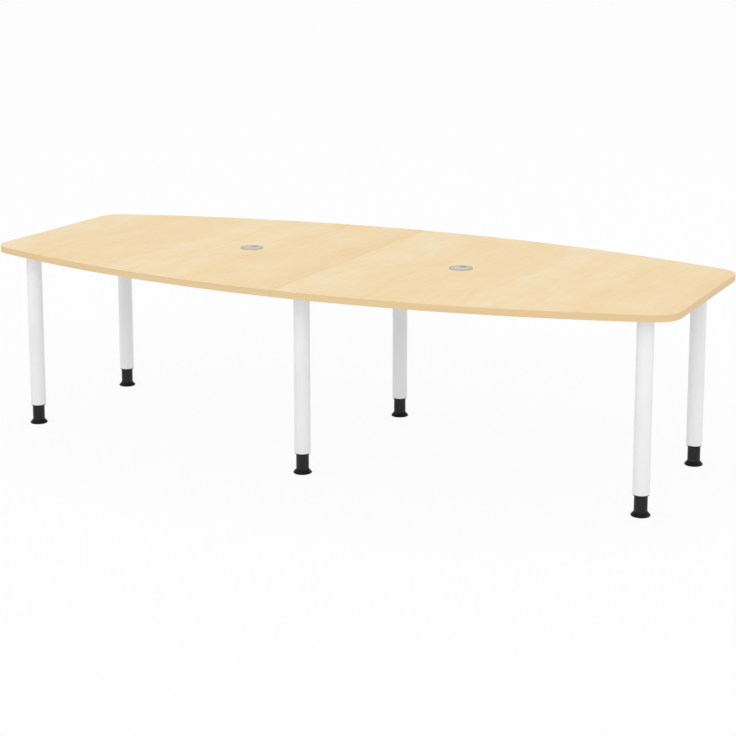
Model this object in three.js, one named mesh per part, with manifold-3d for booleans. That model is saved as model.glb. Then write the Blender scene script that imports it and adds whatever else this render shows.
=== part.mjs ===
// Conference table: a boat-shaped top in two halves on six round legs with screw-out feet.
// Millimetres, +Z up. X runs along the table, +Y to its rear, and the origin is on the floor
// under the middle of the seam.

import * as THREE from "three";
import { mergeVertices } from "three/addons/utils/BufferGeometryUtils.js";
import Module from "manifold-3d";

const wasm = await Module();
wasm.setup();

// Table top
const TABLE_LENGTH = 2800;
const MIDDLE_WIDTH = 1300;
const END_WIDTH = 800; // where the curved sides would meet an end if its corners were sharp
const CORNER_RADIUS = 100;
const TOP_THICKNESS = 25;
const BAND_THICKNESS = 2;
const BAND_CHAMFER = 0.8;
const SEAM_GAP = 0.6; // between the two halves

// Height of the table's face over the floor, and the feet's screw travel
const LOWEST_HEIGHT = 680; // with the feet screwed in
const FOOT_TRAVEL = 80; // from screwed in to screwed out
const FOOT_OUT = 57; // how far the feet are out here

// Legs
const LEG_DIAMETER = 60;
const LEG_WALL = 2;
const LEG_CHAMFER = 0.6;
const LEG_END_INSET = 128; // from the end of the table to the axis of an end leg
const END_LEG_SIDE_INSET = 125; // from the curved side to the axis of an end leg
const MIDDLE_LEG_SIDE_INSET = 230; // from the curved side to the axis of a middle leg

// Leg plates, with the spigots that the tubes slip over
const PLATE_SIZE = 130;
const PLATE_THICKNESS = 5;
const PLATE_CORNER = 15;
const PLATE_HOLE = 6.5;
const PLATE_HOLE_INSET = 15; // from the plate's edges to a hole's centre
const SPIGOT_LENGTH = 45;
const SPIGOT_WALL = 3;
const SET_SCREW_DIAMETER = 6;
const SET_SCREW_SOCKET = 3; // across the flats
const SET_SCREW_SOCKET_DEPTH = 3;
const SET_SCREW_RECESS = 0.5; // below the leg's surface

// Feet
const BUSH_WALL = 3.7;
const BUSH_LENGTH = 40; // inside the leg
const BUSH_FLANGE = 3; // thickness of the collar under the leg
const BUSH_FLANGE_STEP = 1; // the collar's radius is this much less than the leg's
const FOOT_WALL = 3;
const FOOT_FLARE = 10.8; // the base stands this far out past the sleeve
const FOOT_FLARE_HEIGHT = 16;
const FOOT_RIM_HEIGHT = 3.5;
const FOOT_RIM_ROUND = 1.2;
const FOOT_FLOOR = 22; // solid height of the base inside the sleeve
const FOOT_TOP_CHAMFER = 1;
const FOOT_STOP_GAP = 2; // left between the flare and the collar when screwed in
const SPINDLE_DIAMETER = 12;
const SPINDLE_CHAMFER = 1;
const SPINDLE_SPARE = 5; // past the nut when screwed out
const SPINDLE_HEAD_DIAMETER = 20;
const SPINDLE_HEAD_HEIGHT = 6;
const SPINDLE_HEAD_LIFT = 1.5; // off the floor
const NUT_THICKNESS = 12;
const NUT_STOP_GAP = 5; // left between the foot and the nut when screwed in

// Plates and dowels across the seam
const JOINT_PLATE_LENGTH = 120;
const JOINT_PLATE_WIDTH = 60;
const JOINT_PLATE_THICKNESS = 3;
const JOINT_PLATE_CORNER = 8;
const JOINT_PLATE_HOLE = 5;
const JOINT_PLATE_HOLE_INSET = 14;
const JOINT_PLATE_SPACING = 200;
const DOWEL_DIAMETER = 8;
const DOWEL_LENGTH = 40;
const DOWEL_END_GAP = 2; // left past each end of a dowel
const DOWEL_EDGE_INSET = 90; // from the table's side to the outer dowels
const DOWEL_SPACING = 260; // from an outer dowel to the inner one beside it

// Cable outlets
const OUTLET_FROM_SEAM = 450;
const OUTLET_BORE = 80;
const OUTLET_DEPTH = 22; // of the sleeve below the table's face
const OUTLET_WALL = 2.4; // of the sleeve beside the lid
const OUTLET_LEDGE = 2.3; // width of the ledge that the lid rests on
const FLANGE_WIDTH = 5; // past the bore
const FLANGE_HEIGHT = 2;
const FLANGE_CHAMFER = 1.2;
const LID_THICKNESS = 3;
const NOTCH_WIDTH = 24;
const NOTCH_FROM_AXIS = 10; // from the outlet's axis to the notch's round end
const SHUTTER_THICKNESS = 1.6;
const SHUTTER_CLEARANCE = 0.5; // to the sleeve
const PIVOT_DIAMETER = 8;
const PIVOT_HEAD_STEP = 1.5; // the pivot's head is this much larger in radius
const PIVOT_HEAD_HEIGHT = 1.2;

// Clearances
const FIT_GAP = 0.3; // round a piece that slips into another
const SEAT_GAP = 0.1; // between faces that rest on each other
const GLUE_GAP = 0.2; // between the edge band and the board
const CUT_MARGIN = 1; // how far a cutting tool stands past what it cuts

// Facets
const OUTLINE_STEPS = 6; // half the straight steps in each arc of an outline
const PLATE_STEPS = 3; // the same for a plate's corners and screw holes
const ROUND_SIDES = 20;
const OUTLET_SIDES = 24;
const SMALL_SIDES = 12;
const HEX_SIDES = 6;

// Finishes
const MAPLE = { color: 0xf0dab2, roughness: 0.45, metalness: 0 };
const MAPLE_EDGE = { color: 0xe3c798, roughness: 0.5, metalness: 0 };
const WHITE_COAT = { color: 0xe8e8e8, roughness: 0.45, metalness: 0 };
const BLACK_PLASTIC = { color: 0x2b2b2b, roughness: 0.55, metalness: 0 };
const GREY_PLASTIC = { color: 0xc3c6c3, roughness: 0.5, metalness: 0 };
const ZINC_STEEL = { color: 0xb5b8ba, roughness: 0.35, metalness: 0.9 };
const BEECH = { color: 0xd9b98a, roughness: 0.7, metalness: 0 };

// Places that follow from the sizes above
const tableHeight = LOWEST_HEIGHT + FOOT_OUT;
const underside = tableHeight - TOP_THICKNESS;
const halfLength = TABLE_LENGTH / 2;
const sideRise = (MIDDLE_WIDTH - END_WIDTH) / 2;
const sideRadius = (halfLength ** 2 + sideRise ** 2) / (2 * sideRise);
const sideCentre = MIDDLE_WIDTH / 2 - sideRadius;

const plateBottom = underside - SEAT_GAP - PLATE_THICKNESS;
const legTop = plateBottom - SEAT_GAP;
const legRadius = LEG_DIAMETER / 2;
const legBore = legRadius - LEG_WALL;
const spigotRadius = legBore - FIT_GAP;
const collarBottom = FOOT_OUT + FOOT_FLARE_HEIGHT + FOOT_STOP_GAP;
const legBottom = collarBottom + BUSH_FLANGE + SEAT_GAP;

const bushRadius = legBore - FIT_GAP;
const bushBore = bushRadius - BUSH_WALL;
const footRadius = bushBore - FIT_GAP;
const footTop = legBottom + BUSH_LENGTH + FOOT_TRAVEL - FOOT_OUT;
const nutBottom = footTop + FOOT_OUT + NUT_STOP_GAP;
const spindleRadius = SPINDLE_DIAMETER / 2;
const spindleTop = nutBottom + NUT_THICKNESS + FOOT_TRAVEL - FOOT_OUT + SPINDLE_SPARE;
const spindleHeadTop = SPINDLE_HEAD_LIFT + SPINDLE_HEAD_HEIGHT;

const sleeveRadius = OUTLET_BORE / 2 - FIT_GAP;
const lidRecess = sleeveRadius - OUTLET_WALL;
const lidRadius = lidRecess - FIT_GAP;
const ledgeRadius = lidRecess - OUTLET_LEDGE;
const flangeBottom = tableHeight + SEAT_GAP;
const flangeTop = flangeBottom + FLANGE_HEIGHT;
const ledgeTop = flangeTop - LID_THICKNESS - SEAT_GAP;
const lidBottom = ledgeTop + SEAT_GAP;
const shutterTop = lidBottom - FIT_GAP;
const shutterBottom = shutterTop - SHUTTER_THICKNESS;
const pivotRadius = PIVOT_DIAMETER / 2;

// A closed geometry as a solid, with shared vertices merged and empty triangles left out
function toSolid(geometry) {
  const bare = geometry.clone();
  bare.deleteAttribute("normal");
  bare.deleteAttribute("uv");
  const merged = mergeVertices(bare);
  const corners = [];
  for (let i = 0; i < merged.index.count; i += 3) {
    const [a, b, c] = [0, 1, 2].map((k) => merged.index.getX(i + k));
    if (a !== b && b !== c && c !== a) corners.push(a, b, c);
  }
  const vertProperties = merged.attributes.position.array;
  const mesh = new wasm.Mesh({ numProp: 3, vertProperties, triVerts: Uint32Array.from(corners) });
  return new wasm.Manifold(mesh);
}

function toGeometry(solid) {
  const mesh = solid.getMesh();
  const geometry = new THREE.BufferGeometry();
  geometry.setAttribute("position", new THREE.BufferAttribute(mesh.vertProperties, 3));
  geometry.setIndex(new THREE.BufferAttribute(mesh.triVerts, 1));
  geometry.computeVertexNormals();
  return geometry;
}

function cut(geometry, tools) {
  const solids = tools.map(toSolid);
  return toGeometry(solids.reduce((solid, tool) => solid.subtract(tool), toSolid(geometry)));
}

function join(first, second) {
  return toGeometry(toSolid(first).add(toSolid(second)));
}

// A solid of revolution about Z from [radius, z] points, with its outer side running upwards
function turn(profile, sides) {
  const points = profile.map(([radius, z]) => new THREE.Vector2(radius, z));
  return new THREE.LatheGeometry(points, sides).rotateX(Math.PI / 2);
}

// The same for a ring, whose profile closes on itself
function turnRing(profile, sides) {
  return turn([...profile, profile[0]], sides);
}

// A round bar about Z between two heights
function bar(radius, bottom, top, sides) {
  const geometry = new THREE.CylinderGeometry(radius, radius, top - bottom, sides);
  return geometry.rotateX(Math.PI / 2).translate(0, 0, (bottom + top) / 2);
}

// A shape's prism from bottom to top
function prism(shape, bottom, top, steps) {
  const options = { depth: top - bottom, bevelEnabled: false, curveSegments: steps };
  return new THREE.ExtrudeGeometry(shape, options).translate(0, 0, bottom);
}

// Half the table's width at a distance x from the seam
function halfWidth(x) {
  return sideCentre + Math.sqrt(sideRadius ** 2 - x ** 2);
}

// The right half's outline, drawn in by inset on all sides
function halfOutline(inset) {
  const seam = SEAM_GAP / 2 + inset;
  const side = sideRadius - inset;
  const corner = CORNER_RADIUS - inset;
  const cornerX = halfLength - CORNER_RADIUS;
  const cornerY = sideCentre + Math.sqrt((sideRadius - CORNER_RADIUS) ** 2 - cornerX ** 2);
  const seamAngle = Math.acos(seam / side);
  const cornerAngle = Math.atan2(cornerY - sideCentre, cornerX);
  const shape = new THREE.Shape();
  shape.absarc(0, -sideCentre, side, -seamAngle, -cornerAngle, false);
  shape.absarc(cornerX, -cornerY, corner, -cornerAngle, 0, false);
  shape.absarc(cornerX, cornerY, corner, 0, cornerAngle, false);
  shape.absarc(0, sideCentre, side, cornerAngle, seamAngle, false);
  shape.closePath();
  return shape;
}

// Distances of the dowels from the table's middle line
function dowelPlaces() {
  const outer = halfWidth(0) - DOWEL_EDGE_INSET;
  const inner = outer - DOWEL_SPACING;
  return { front_outer: -outer, front_inner: -inner, rear_inner: inner, rear_outer: outer };
}

const dowelHeight = tableHeight - TOP_THICKNESS / 2;

// Bars that cut the dowels' holes in the right half
function dowelHoles() {
  const depth = DOWEL_LENGTH / 2 + DOWEL_END_GAP;
  return Object.values(dowelPlaces()).map((y) =>
    bar(DOWEL_DIAMETER / 2 + FIT_GAP, -CUT_MARGIN, depth, SMALL_SIDES)
      .rotateY(Math.PI / 2)
      .translate(0, y, dowelHeight),
  );
}

function boardGeometry() {
  const outline = halfOutline(BAND_THICKNESS + GLUE_GAP);
  const board = prism(outline, underside, tableHeight, OUTLINE_STEPS);
  const bore = bar(OUTLET_BORE / 2, underside - CUT_MARGIN, tableHeight + CUT_MARGIN, OUTLET_SIDES);
  return cut(board, [bore.translate(OUTLET_FROM_SEAM, 0, 0), ...dowelHoles()]);
}

function bandGeometry() {
  const ring = new THREE.ExtrudeGeometry(halfOutline(0), {
    depth: TOP_THICKNESS - 2 * BAND_CHAMFER,
    bevelThickness: BAND_CHAMFER,
    bevelSize: BAND_CHAMFER,
    bevelOffset: -BAND_CHAMFER,
    bevelSegments: 1,
    curveSegments: OUTLINE_STEPS,
  }).translate(0, 0, underside + BAND_CHAMFER);
  const inside = halfOutline(BAND_THICKNESS);
  const core = prism(inside, underside - CUT_MARGIN, tableHeight + CUT_MARGIN, OUTLINE_STEPS);
  return cut(ring, [core, ...dowelHoles()]);
}

// A flat plate with rounded corners and a hole near each corner
function plateGeometry({ length, width, bottom, top, corner, hole, inset }) {
  const shape = new THREE.Shape();
  const cornerX = length / 2 - corner;
  const cornerY = width / 2 - corner;
  const quarter = Math.PI / 2;
  const signs = [[1, 1], [-1, 1], [-1, -1], [1, -1]];
  signs.forEach(([sx, sy], i) => {
    shape.absarc(sx * cornerX, sy * cornerY, corner, i * quarter, (i + 1) * quarter, false);
    const path = new THREE.Path();
    path.absarc(sx * (length / 2 - inset), sy * (width / 2 - inset), hole / 2, 0, 2 * Math.PI, true);
    shape.holes.push(path);
  });
  shape.closePath();
  return prism(shape, bottom, top, PLATE_STEPS);
}

// Height of a leg's set screw, at the middle of the spigot
const setScrewHeight = plateBottom - SPIGOT_LENGTH / 2;

// A bar along Y that cuts the set screw's hole through one side of a leg
function setScrewHole() {
  return bar(SET_SCREW_DIAMETER / 2 + FIT_GAP, 0, legRadius + CUT_MARGIN, SMALL_SIDES)
    .rotateX(-Math.PI / 2)
    .translate(0, 0, setScrewHeight);
}

function legPlateGeometry() {
  const plate = plateGeometry({
    length: PLATE_SIZE,
    width: PLATE_SIZE,
    bottom: plateBottom,
    top: plateBottom + PLATE_THICKNESS,
    corner: PLATE_CORNER,
    hole: PLATE_HOLE,
    inset: PLATE_HOLE_INSET,
  });
  const inner = spigotRadius - SPIGOT_WALL;
  const spigotBottom = plateBottom - SPIGOT_LENGTH;
  const spigotTop = plateBottom + PLATE_THICKNESS / 2;
  const spigot = turnRing([
    [inner, spigotBottom],
    [spigotRadius, spigotBottom],
    [spigotRadius, spigotTop],
    [inner, spigotTop],
  ], ROUND_SIDES);
  return cut(join(plate, spigot), [setScrewHole()]);
}

function legTubeGeometry() {
  const tube = turnRing([
    [legBore, legBottom],
    [legRadius - LEG_CHAMFER, legBottom],
    [legRadius, legBottom + LEG_CHAMFER],
    [legRadius, legTop],
    [legBore, legTop],
  ], ROUND_SIDES);
  return cut(tube, [setScrewHole()]);
}

function setScrewGeometry() {
  const outer = legRadius - SET_SCREW_RECESS;
  const screw = bar(SET_SCREW_DIAMETER / 2, spigotRadius - SPIGOT_WALL, outer, SMALL_SIDES);
  const socketRadius = SET_SCREW_SOCKET / 2 / Math.cos(Math.PI / HEX_SIDES);
  const socket = bar(socketRadius, outer - SET_SCREW_SOCKET_DEPTH, outer + CUT_MARGIN, HEX_SIDES);
  return cut(screw, [socket]).rotateX(-Math.PI / 2).translate(0, 0, setScrewHeight);
}

function bushGeometry() {
  const collarRadius = legRadius - BUSH_FLANGE_STEP;
  const collarTop = collarBottom + BUSH_FLANGE;
  const top = legBottom + BUSH_LENGTH;
  return turnRing([
    [bushBore, collarBottom],
    [collarRadius, collarBottom],
    [collarRadius, collarTop],
    [bushRadius, collarTop],
    [bushRadius, top],
    [bushBore, top],
  ], ROUND_SIDES);
}

function nutGeometry() {
  const top = nutBottom + NUT_THICKNESS;
  return turnRing([
    [spindleRadius + FIT_GAP, nutBottom],
    [bushRadius, nutBottom],
    [bushRadius, top],
    [spindleRadius + FIT_GAP, top],
  ], ROUND_SIDES);
}

function footGeometry() {
  const rim = footRadius + FOOT_FLARE;
  const inner = footRadius - FOOT_WALL;
  const shank = spindleRadius + FIT_GAP;
  const pocket = SPINDLE_HEAD_DIAMETER / 2 + FIT_GAP;
  const pocketTop = spindleHeadTop + FIT_GAP;
  return turnRing([
    [pocket, 0],
    [rim - FOOT_RIM_ROUND, 0],
    [rim, FOOT_RIM_ROUND],
    [rim, FOOT_RIM_HEIGHT],
    [footRadius, FOOT_FLARE_HEIGHT],
    [footRadius, footTop - FOOT_TOP_CHAMFER],
    [footRadius - FOOT_TOP_CHAMFER, footTop],
    [inner, footTop],
    [inner, FOOT_FLOOR],
    [shank, FOOT_FLOOR],
    [shank, pocketTop],
    [pocket, pocketTop],
  ], ROUND_SIDES);
}

function spindleGeometry() {
  const headRadius = SPINDLE_HEAD_DIAMETER / 2;
  return turn([
    [0, SPINDLE_HEAD_LIFT],
    [headRadius, SPINDLE_HEAD_LIFT],
    [headRadius, spindleHeadTop],
    [spindleRadius, spindleHeadTop],
    [spindleRadius, spindleTop - SPINDLE_CHAMFER],
    [spindleRadius - SPINDLE_CHAMFER, spindleTop],
    [0, spindleTop],
  ], SMALL_SIDES);
}

function outletSleeveGeometry() {
  const flangeRadius = OUTLET_BORE / 2 + FLANGE_WIDTH;
  const bottom = tableHeight - OUTLET_DEPTH;
  return turnRing([
    [ledgeRadius, bottom],
    [sleeveRadius, bottom],
    [sleeveRadius, flangeBottom],
    [flangeRadius, flangeBottom],
    [flangeRadius, flangeTop - FLANGE_CHAMFER],
    [flangeRadius - FLANGE_CHAMFER, flangeTop],
    [lidRecess, flangeTop],
    [lidRecess, ledgeTop],
    [ledgeRadius, ledgeTop],
  ], OUTLET_SIDES);
}

// A prism that cuts a round-ended notch into the +Y rim of a lid or shutter
function notchTool(bottom, top) {
  const half = NOTCH_WIDTH / 2;
  const far = lidRadius + CUT_MARGIN;
  const shape = new THREE.Shape();
  shape.absarc(0, NOTCH_FROM_AXIS + half, half, Math.PI, 2 * Math.PI, false);
  shape.lineTo(half, far);
  shape.lineTo(-half, far);
  shape.closePath();
  return prism(shape, bottom - CUT_MARGIN, top + CUT_MARGIN, OUTLINE_STEPS);
}

// The lid, with the headed pivot under it that carries the shutter
function outletLidGeometry() {
  const headRadius = pivotRadius + PIVOT_HEAD_STEP;
  const headTop = shutterBottom - FIT_GAP;
  const lid = turn([
    [0, headTop - PIVOT_HEAD_HEIGHT],
    [headRadius, headTop - PIVOT_HEAD_HEIGHT],
    [headRadius, headTop],
    [pivotRadius, headTop],
    [pivotRadius, lidBottom],
    [lidRadius, lidBottom],
    [lidRadius, flangeTop],
    [0, flangeTop],
  ], OUTLET_SIDES);
  return cut(lid, [notchTool(lidBottom, flangeTop)]);
}

function outletShutterGeometry() {
  const bore = pivotRadius + FIT_GAP;
  const rim = ledgeRadius - SHUTTER_CLEARANCE;
  const disc = turnRing([
    [bore, shutterBottom],
    [rim, shutterBottom],
    [rim, shutterTop],
    [bore, shutterTop],
  ], OUTLET_SIDES);
  return cut(disc, [notchTool(shutterBottom, shutterTop)]);
}

function piece(name, geometry, finish) {
  const mesh = new THREE.Mesh(geometry, new THREE.MeshStandardMaterial(finish));
  mesh.name = name;
  return mesh;
}

// One half of the top, the left one turned round from the right
function makeHalf(side, angle) {
  const half = new THREE.Group();
  half.add(piece(`tabletop_${side}`, boardGeometry(), MAPLE));
  half.add(piece(`edge_band_${side}`, bandGeometry(), MAPLE_EDGE));
  half.rotation.z = angle;
  return half;
}

function makeOutlet(side, x) {
  const outlet = new THREE.Group();
  const shutter = piece(`outlet_shutter_${side}`, outletShutterGeometry(), GREY_PLASTIC);
  shutter.rotation.z = -Math.PI / 2; // closed: its notch is a quarter turn from the lid's
  outlet.add(piece(`outlet_sleeve_${side}`, outletSleeveGeometry(), GREY_PLASTIC));
  outlet.add(piece(`outlet_lid_${side}`, outletLidGeometry(), GREY_PLASTIC), shutter);
  outlet.position.x = x;
  return outlet;
}

// A leg with its plate and foot, its set screw facing +Y before the leg is turned
function makeLeg(place, x, y, angle) {
  const leg = new THREE.Group();
  leg.add(piece(`leg_plate_${place}`, legPlateGeometry(), WHITE_COAT));
  leg.add(piece(`leg_tube_${place}`, legTubeGeometry(), WHITE_COAT));
  leg.add(piece(`set_screw_${place}`, setScrewGeometry(), ZINC_STEEL));
  leg.add(piece(`foot_bush_${place}`, bushGeometry(), BLACK_PLASTIC));
  leg.add(piece(`spindle_nut_${place}`, nutGeometry(), ZINC_STEEL));
  leg.add(piece(`foot_${place}`, footGeometry(), BLACK_PLASTIC));
  leg.add(piece(`foot_spindle_${place}`, spindleGeometry(), ZINC_STEEL));
  leg.position.set(x, y, 0);
  leg.rotation.z = angle;
  return leg;
}

function makeLegs() {
  const endX = halfLength - LEG_END_INSET;
  const endY = halfWidth(endX) - END_LEG_SIDE_INSET;
  const middleY = halfWidth(0) - MIDDLE_LEG_SIDE_INSET;
  const columns = [["left", -endX, endY], ["middle", 0, middleY], ["right", endX, endY]];
  return columns.flatMap(([column, x, y]) => [
    makeLeg(`front_${column}`, x, -y, 0),
    makeLeg(`rear_${column}`, x, y, Math.PI),
  ]);
}

// Plates and dowels that hold the halves together
function makeSeam() {
  const seam = new THREE.Group();
  const top = underside - SEAT_GAP;
  const places = { front: -JOINT_PLATE_SPACING, middle: 0, rear: JOINT_PLATE_SPACING };
  for (const [place, y] of Object.entries(places)) {
    const plate = plateGeometry({
      length: JOINT_PLATE_LENGTH,
      width: JOINT_PLATE_WIDTH,
      bottom: top - JOINT_PLATE_THICKNESS,
      top,
      corner: JOINT_PLATE_CORNER,
      hole: JOINT_PLATE_HOLE,
      inset: JOINT_PLATE_HOLE_INSET,
    });
    seam.add(piece(`joint_plate_${place}`, plate.translate(0, y, 0), ZINC_STEEL));
  }
  for (const [place, y] of Object.entries(dowelPlaces())) {
    const dowel = bar(DOWEL_DIAMETER / 2, -DOWEL_LENGTH / 2, DOWEL_LENGTH / 2, SMALL_SIDES);
    const mesh = piece(`dowel_${place}`, dowel.rotateY(Math.PI / 2), BEECH);
    mesh.position.set(0, y, dowelHeight);
    seam.add(mesh);
  }
  return seam;
}

const table = new THREE.Group();
table.add(makeHalf("right", 0), makeHalf("left", Math.PI));
table.add(makeOutlet("left", -OUTLET_FROM_SEAM), makeOutlet("right", OUTLET_FROM_SEAM));
table.add(...makeLegs(), makeSeam());

export default table;
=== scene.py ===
"""Looks of a boat-shaped conference table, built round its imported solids.

Metres, +Z up. X runs along the table, +Y to its rear, and the origin is on the floor under the
middle of the seam.
"""

import math
from typing import NamedTuple

import bmesh
import bpy
from mathutils import Matrix, Vector


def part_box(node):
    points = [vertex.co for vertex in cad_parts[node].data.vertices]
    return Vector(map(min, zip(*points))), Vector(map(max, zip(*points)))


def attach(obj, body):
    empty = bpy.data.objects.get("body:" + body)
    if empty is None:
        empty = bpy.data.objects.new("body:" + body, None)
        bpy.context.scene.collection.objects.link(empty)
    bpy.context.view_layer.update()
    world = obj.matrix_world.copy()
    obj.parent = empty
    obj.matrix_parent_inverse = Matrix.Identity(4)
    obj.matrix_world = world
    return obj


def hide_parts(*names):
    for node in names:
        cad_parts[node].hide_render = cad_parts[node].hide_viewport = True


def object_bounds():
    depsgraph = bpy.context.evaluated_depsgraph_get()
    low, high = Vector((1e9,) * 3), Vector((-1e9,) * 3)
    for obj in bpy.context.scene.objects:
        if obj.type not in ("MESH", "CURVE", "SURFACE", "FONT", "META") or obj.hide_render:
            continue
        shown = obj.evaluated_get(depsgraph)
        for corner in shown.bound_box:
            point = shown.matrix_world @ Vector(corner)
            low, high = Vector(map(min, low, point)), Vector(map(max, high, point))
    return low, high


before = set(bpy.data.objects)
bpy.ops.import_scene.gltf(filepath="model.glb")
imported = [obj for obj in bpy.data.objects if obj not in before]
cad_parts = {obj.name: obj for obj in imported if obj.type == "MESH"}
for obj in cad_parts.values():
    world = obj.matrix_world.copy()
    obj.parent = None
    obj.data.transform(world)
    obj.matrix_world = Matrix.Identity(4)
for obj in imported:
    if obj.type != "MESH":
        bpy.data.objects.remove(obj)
cad_low, cad_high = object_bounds()

MM = 0.001
SIDES = ("left", "right")
PLACES = [f"{row}_{column}" for column in ("left", "middle", "right") for row in ("front", "rear")]
SEAM_PLACES = ("front", "middle", "rear")
DOWELS = ("front_outer", "front_inner", "rear_inner", "rear_outer")

# Table top: sizes that the nodes' boxes don't give
END_WIDTH = 800 * MM  # where the curved sides would meet an end if its corners were sharp
CORNER_RADIUS = 100 * MM
SEAM_GAP = 0.6 * MM
BAND_THICKNESS = 2 * MM
BAND_ARRIS = 1.5 * MM
SEAM_ARRIS = 0.7 * MM  # the band's edges are left sharper where the halves meet
GLUE_LINE = 0.05 * MM
OUTLET_BORE = 80 * MM

# Legs and feet
LEG_WALL = 2 * MM
LEG_END_ROUND = 0.8 * MM
PLATE_THICKNESS = 5 * MM
PLATE_CORNER = 15 * MM
PLATE_HOLE = 6.5 * MM
PLATE_HOLE_INSET = 15 * MM
SPIGOT_WALL = 3 * MM
SET_SCREW_DIAMETER = 6 * MM
SET_SCREW_HOLE = 6.6 * MM
SET_SCREW_SOCKET = 3 * MM  # across the flats
SET_SCREW_SOCKET_DEPTH = 3 * MM
BUSH_FLANGE = 3 * MM
BUSH_WALL = 3.7 * MM
COLLAR_ROUND = 0.9 * MM
FOOT_SLEEVE_RADIUS = 23.7 * MM
FOOT_WALL = 3 * MM
FOOT_FLARE_HEIGHT = 16 * MM
FOOT_RIM_HEIGHT = 3.5 * MM
FOOT_RIM_ROUND = 1.4 * MM
FOOT_COVE = 5 * MM
FOOT_FLOOR = 22 * MM
SPINDLE_RADIUS = 6 * MM
SPINDLE_HEAD_HEIGHT = 6 * MM
FIT_GAP = 0.3 * MM
SMALL_ROUND = 0.3 * MM

# Plates across the seam
JOINT_PLATE_CORNER = 8 * MM
JOINT_PLATE_HOLE = 5 * MM
JOINT_PLATE_HOLE_INSET = 14 * MM

# Cable outlets
OUTLET_WALL = 2.4 * MM
OUTLET_LEDGE = 2.3 * MM
FLANGE_ROUND = 1.2 * MM
LID_EDGE = 0.5 * MM
LID_THICKNESS = 3 * MM
NOTCH_WIDTH = 24 * MM
NOTCH_FROM_AXIS = 10 * MM
SHUTTER_EDGE = 0.3 * MM
PIVOT_RADIUS = 4 * MM
PIVOT_HEAD_STEP = 1.5 * MM
PIVOT_HEAD_HEIGHT = 1.2 * MM

# Wood screws: radii of their heads, their depth in the board, and shares of a head's radius
LEG_SCREW_HEAD = 5.6 * MM
JOINT_SCREW_HEAD = 4.4 * MM
SCREW_DEPTH = 14 * MM
SCREW_HEAD_SHARE = 0.52  # for the head's height
SCREW_SHANK_SHARE = 0.42
SCREW_TIP_SHARE = 2  # of the shank's radius, for the length of the point
SCREW_DOME_SHARE = 0.7  # how far out the dome on the head reaches
SCREW_DOME_HEIGHT = 0.92  # of the head's height, at the dome's rim
SCREW_DOME_ROUND = 0.3
SCREW_SIDE_HEIGHT = 0.35  # of the head's height, for its upright side
SCREW_SIDE_ROUND = 0.2
RECESS_REACH_SHARE = 0.5  # for an arm of the cross
RECESS_WIDTH_SHARE = 0.2
RECESS_DEPTH_SHARE = 0.3  # of the head's height

# Facets
SIDE_STEPS = 96
CORNER_STEPS = 32
ROUND_SIDES = 96
SMALL_SIDES = 32
HEX_SIDES = 6
FILLET_STEPS = 5
EDGE_STEPS = 2
SHARP_ANGLE = math.radians(32)
SQUARE_TO_Z = 0.9  # a face whose normal has more than this along Z lies flat
MERGE_DISTANCE = 1e-6

# The curve from colours as they are seen to linear ones, sRGB's
SEEN_TOP = 255
CURVE_KNEE = 0.04045
CURVE_SLOPE = 12.92  # below the knee
CURVE_OFFSET = 0.055
CURVE_POWER = 2.4

# Colours of the finishes, as they are seen
MAPLE_LIGHT = (246, 226, 188)
MAPLE_MIDDLE = (245, 220, 176)
MAPLE_WARM = (243, 207, 144)
MAPLE_DEEP = (242, 214, 169)
MAPLE_FIBRE = (236, 204, 152)
MAPLE_EDGE = (230, 202, 156)
MAPLE_EDGE_WARM = (226, 196, 148)
MAPLE_EDGE_LINE = (217, 185, 139)
BACKING = (236, 236, 235)
BACKING_DIP = (230, 230, 229)
WHITE_COAT = (241, 241, 241)
WHITE_COAT_DIP = (236, 236, 236)
BLACK_SLEEVE = (28, 28, 28)
BLACK_SLEEVE_DIP = (22, 22, 22)
# The flare's own darker plastic, darkened further as painted shade: the dimmer light on its upward face,
# and the contact shadow round its rim on the floor
BASE_BLACK_AND_SHADE = (12, 12, 12)
BASE_DIP_AND_SHADE = (8, 8, 8)
SCUFF_GREY = (44, 43, 42)
OUTLET_GREY = (200, 199, 194)
OUTLET_GREY_DIP = (193, 192, 187)
OUTLET_RIM = (184, 180, 171)
OUTLET_RIM_DIP = (176, 172, 163)
ZINC = (205, 208, 210)
ZINC_DIP = (176, 180, 184)
BEECH = (217, 185, 138)
BEECH_DIP = (196, 160, 112)

# The maple decor repeats across the boards: tones at distances from the start of a repeat
DECOR_REPEAT = 1.46
DECOR_TONES = (
    (0.00, MAPLE_MIDDLE),
    (0.06, MAPLE_LIGHT),
    (0.20, MAPLE_LIGHT),
    (0.30, MAPLE_MIDDLE),
    (0.66, MAPLE_MIDDLE),
    (0.74, MAPLE_LIGHT),
    (1.00, MAPLE_LIGHT),
    (1.08, MAPLE_MIDDLE),
    (1.32, MAPLE_MIDDLE),
    (1.42, MAPLE_DEEP),
    (DECOR_REPEAT, MAPLE_DEEP),
)
FLAMES = ((0.335, 0.65), (0.85, 0.3), (1.11, 0.6))  # where warm flames run, and how strong they are
FLAME_REACH = 0.035
WANDER_REACH = 0.05  # how far the decor's streaks wander to either side

# Most of a noise lies between these two values
NOISE_LOW = 0.3
NOISE_HIGH = 0.7


class Figure(NamedTuple):
    """A noise in a finish: how it is laid, and how it is spread into a share of a tone."""

    waves: tuple  # about how many there are in a metre along X, Y and Z
    detail: float = 2.0
    start: float = NOISE_LOW  # noise up to here gives none of the share
    full: float = NOISE_HIGH  # noise from here on gives all of it
    share: float = 1.0


class Gloss(NamedTuple):
    """How a finish takes the light."""

    smooth: float  # its roughness where a noise is low
    rough: float  # and where the noise is high
    relief: float  # depth of its grain
    sheen: float = 0.5  # specular level
    metal: float = 0.0


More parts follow.
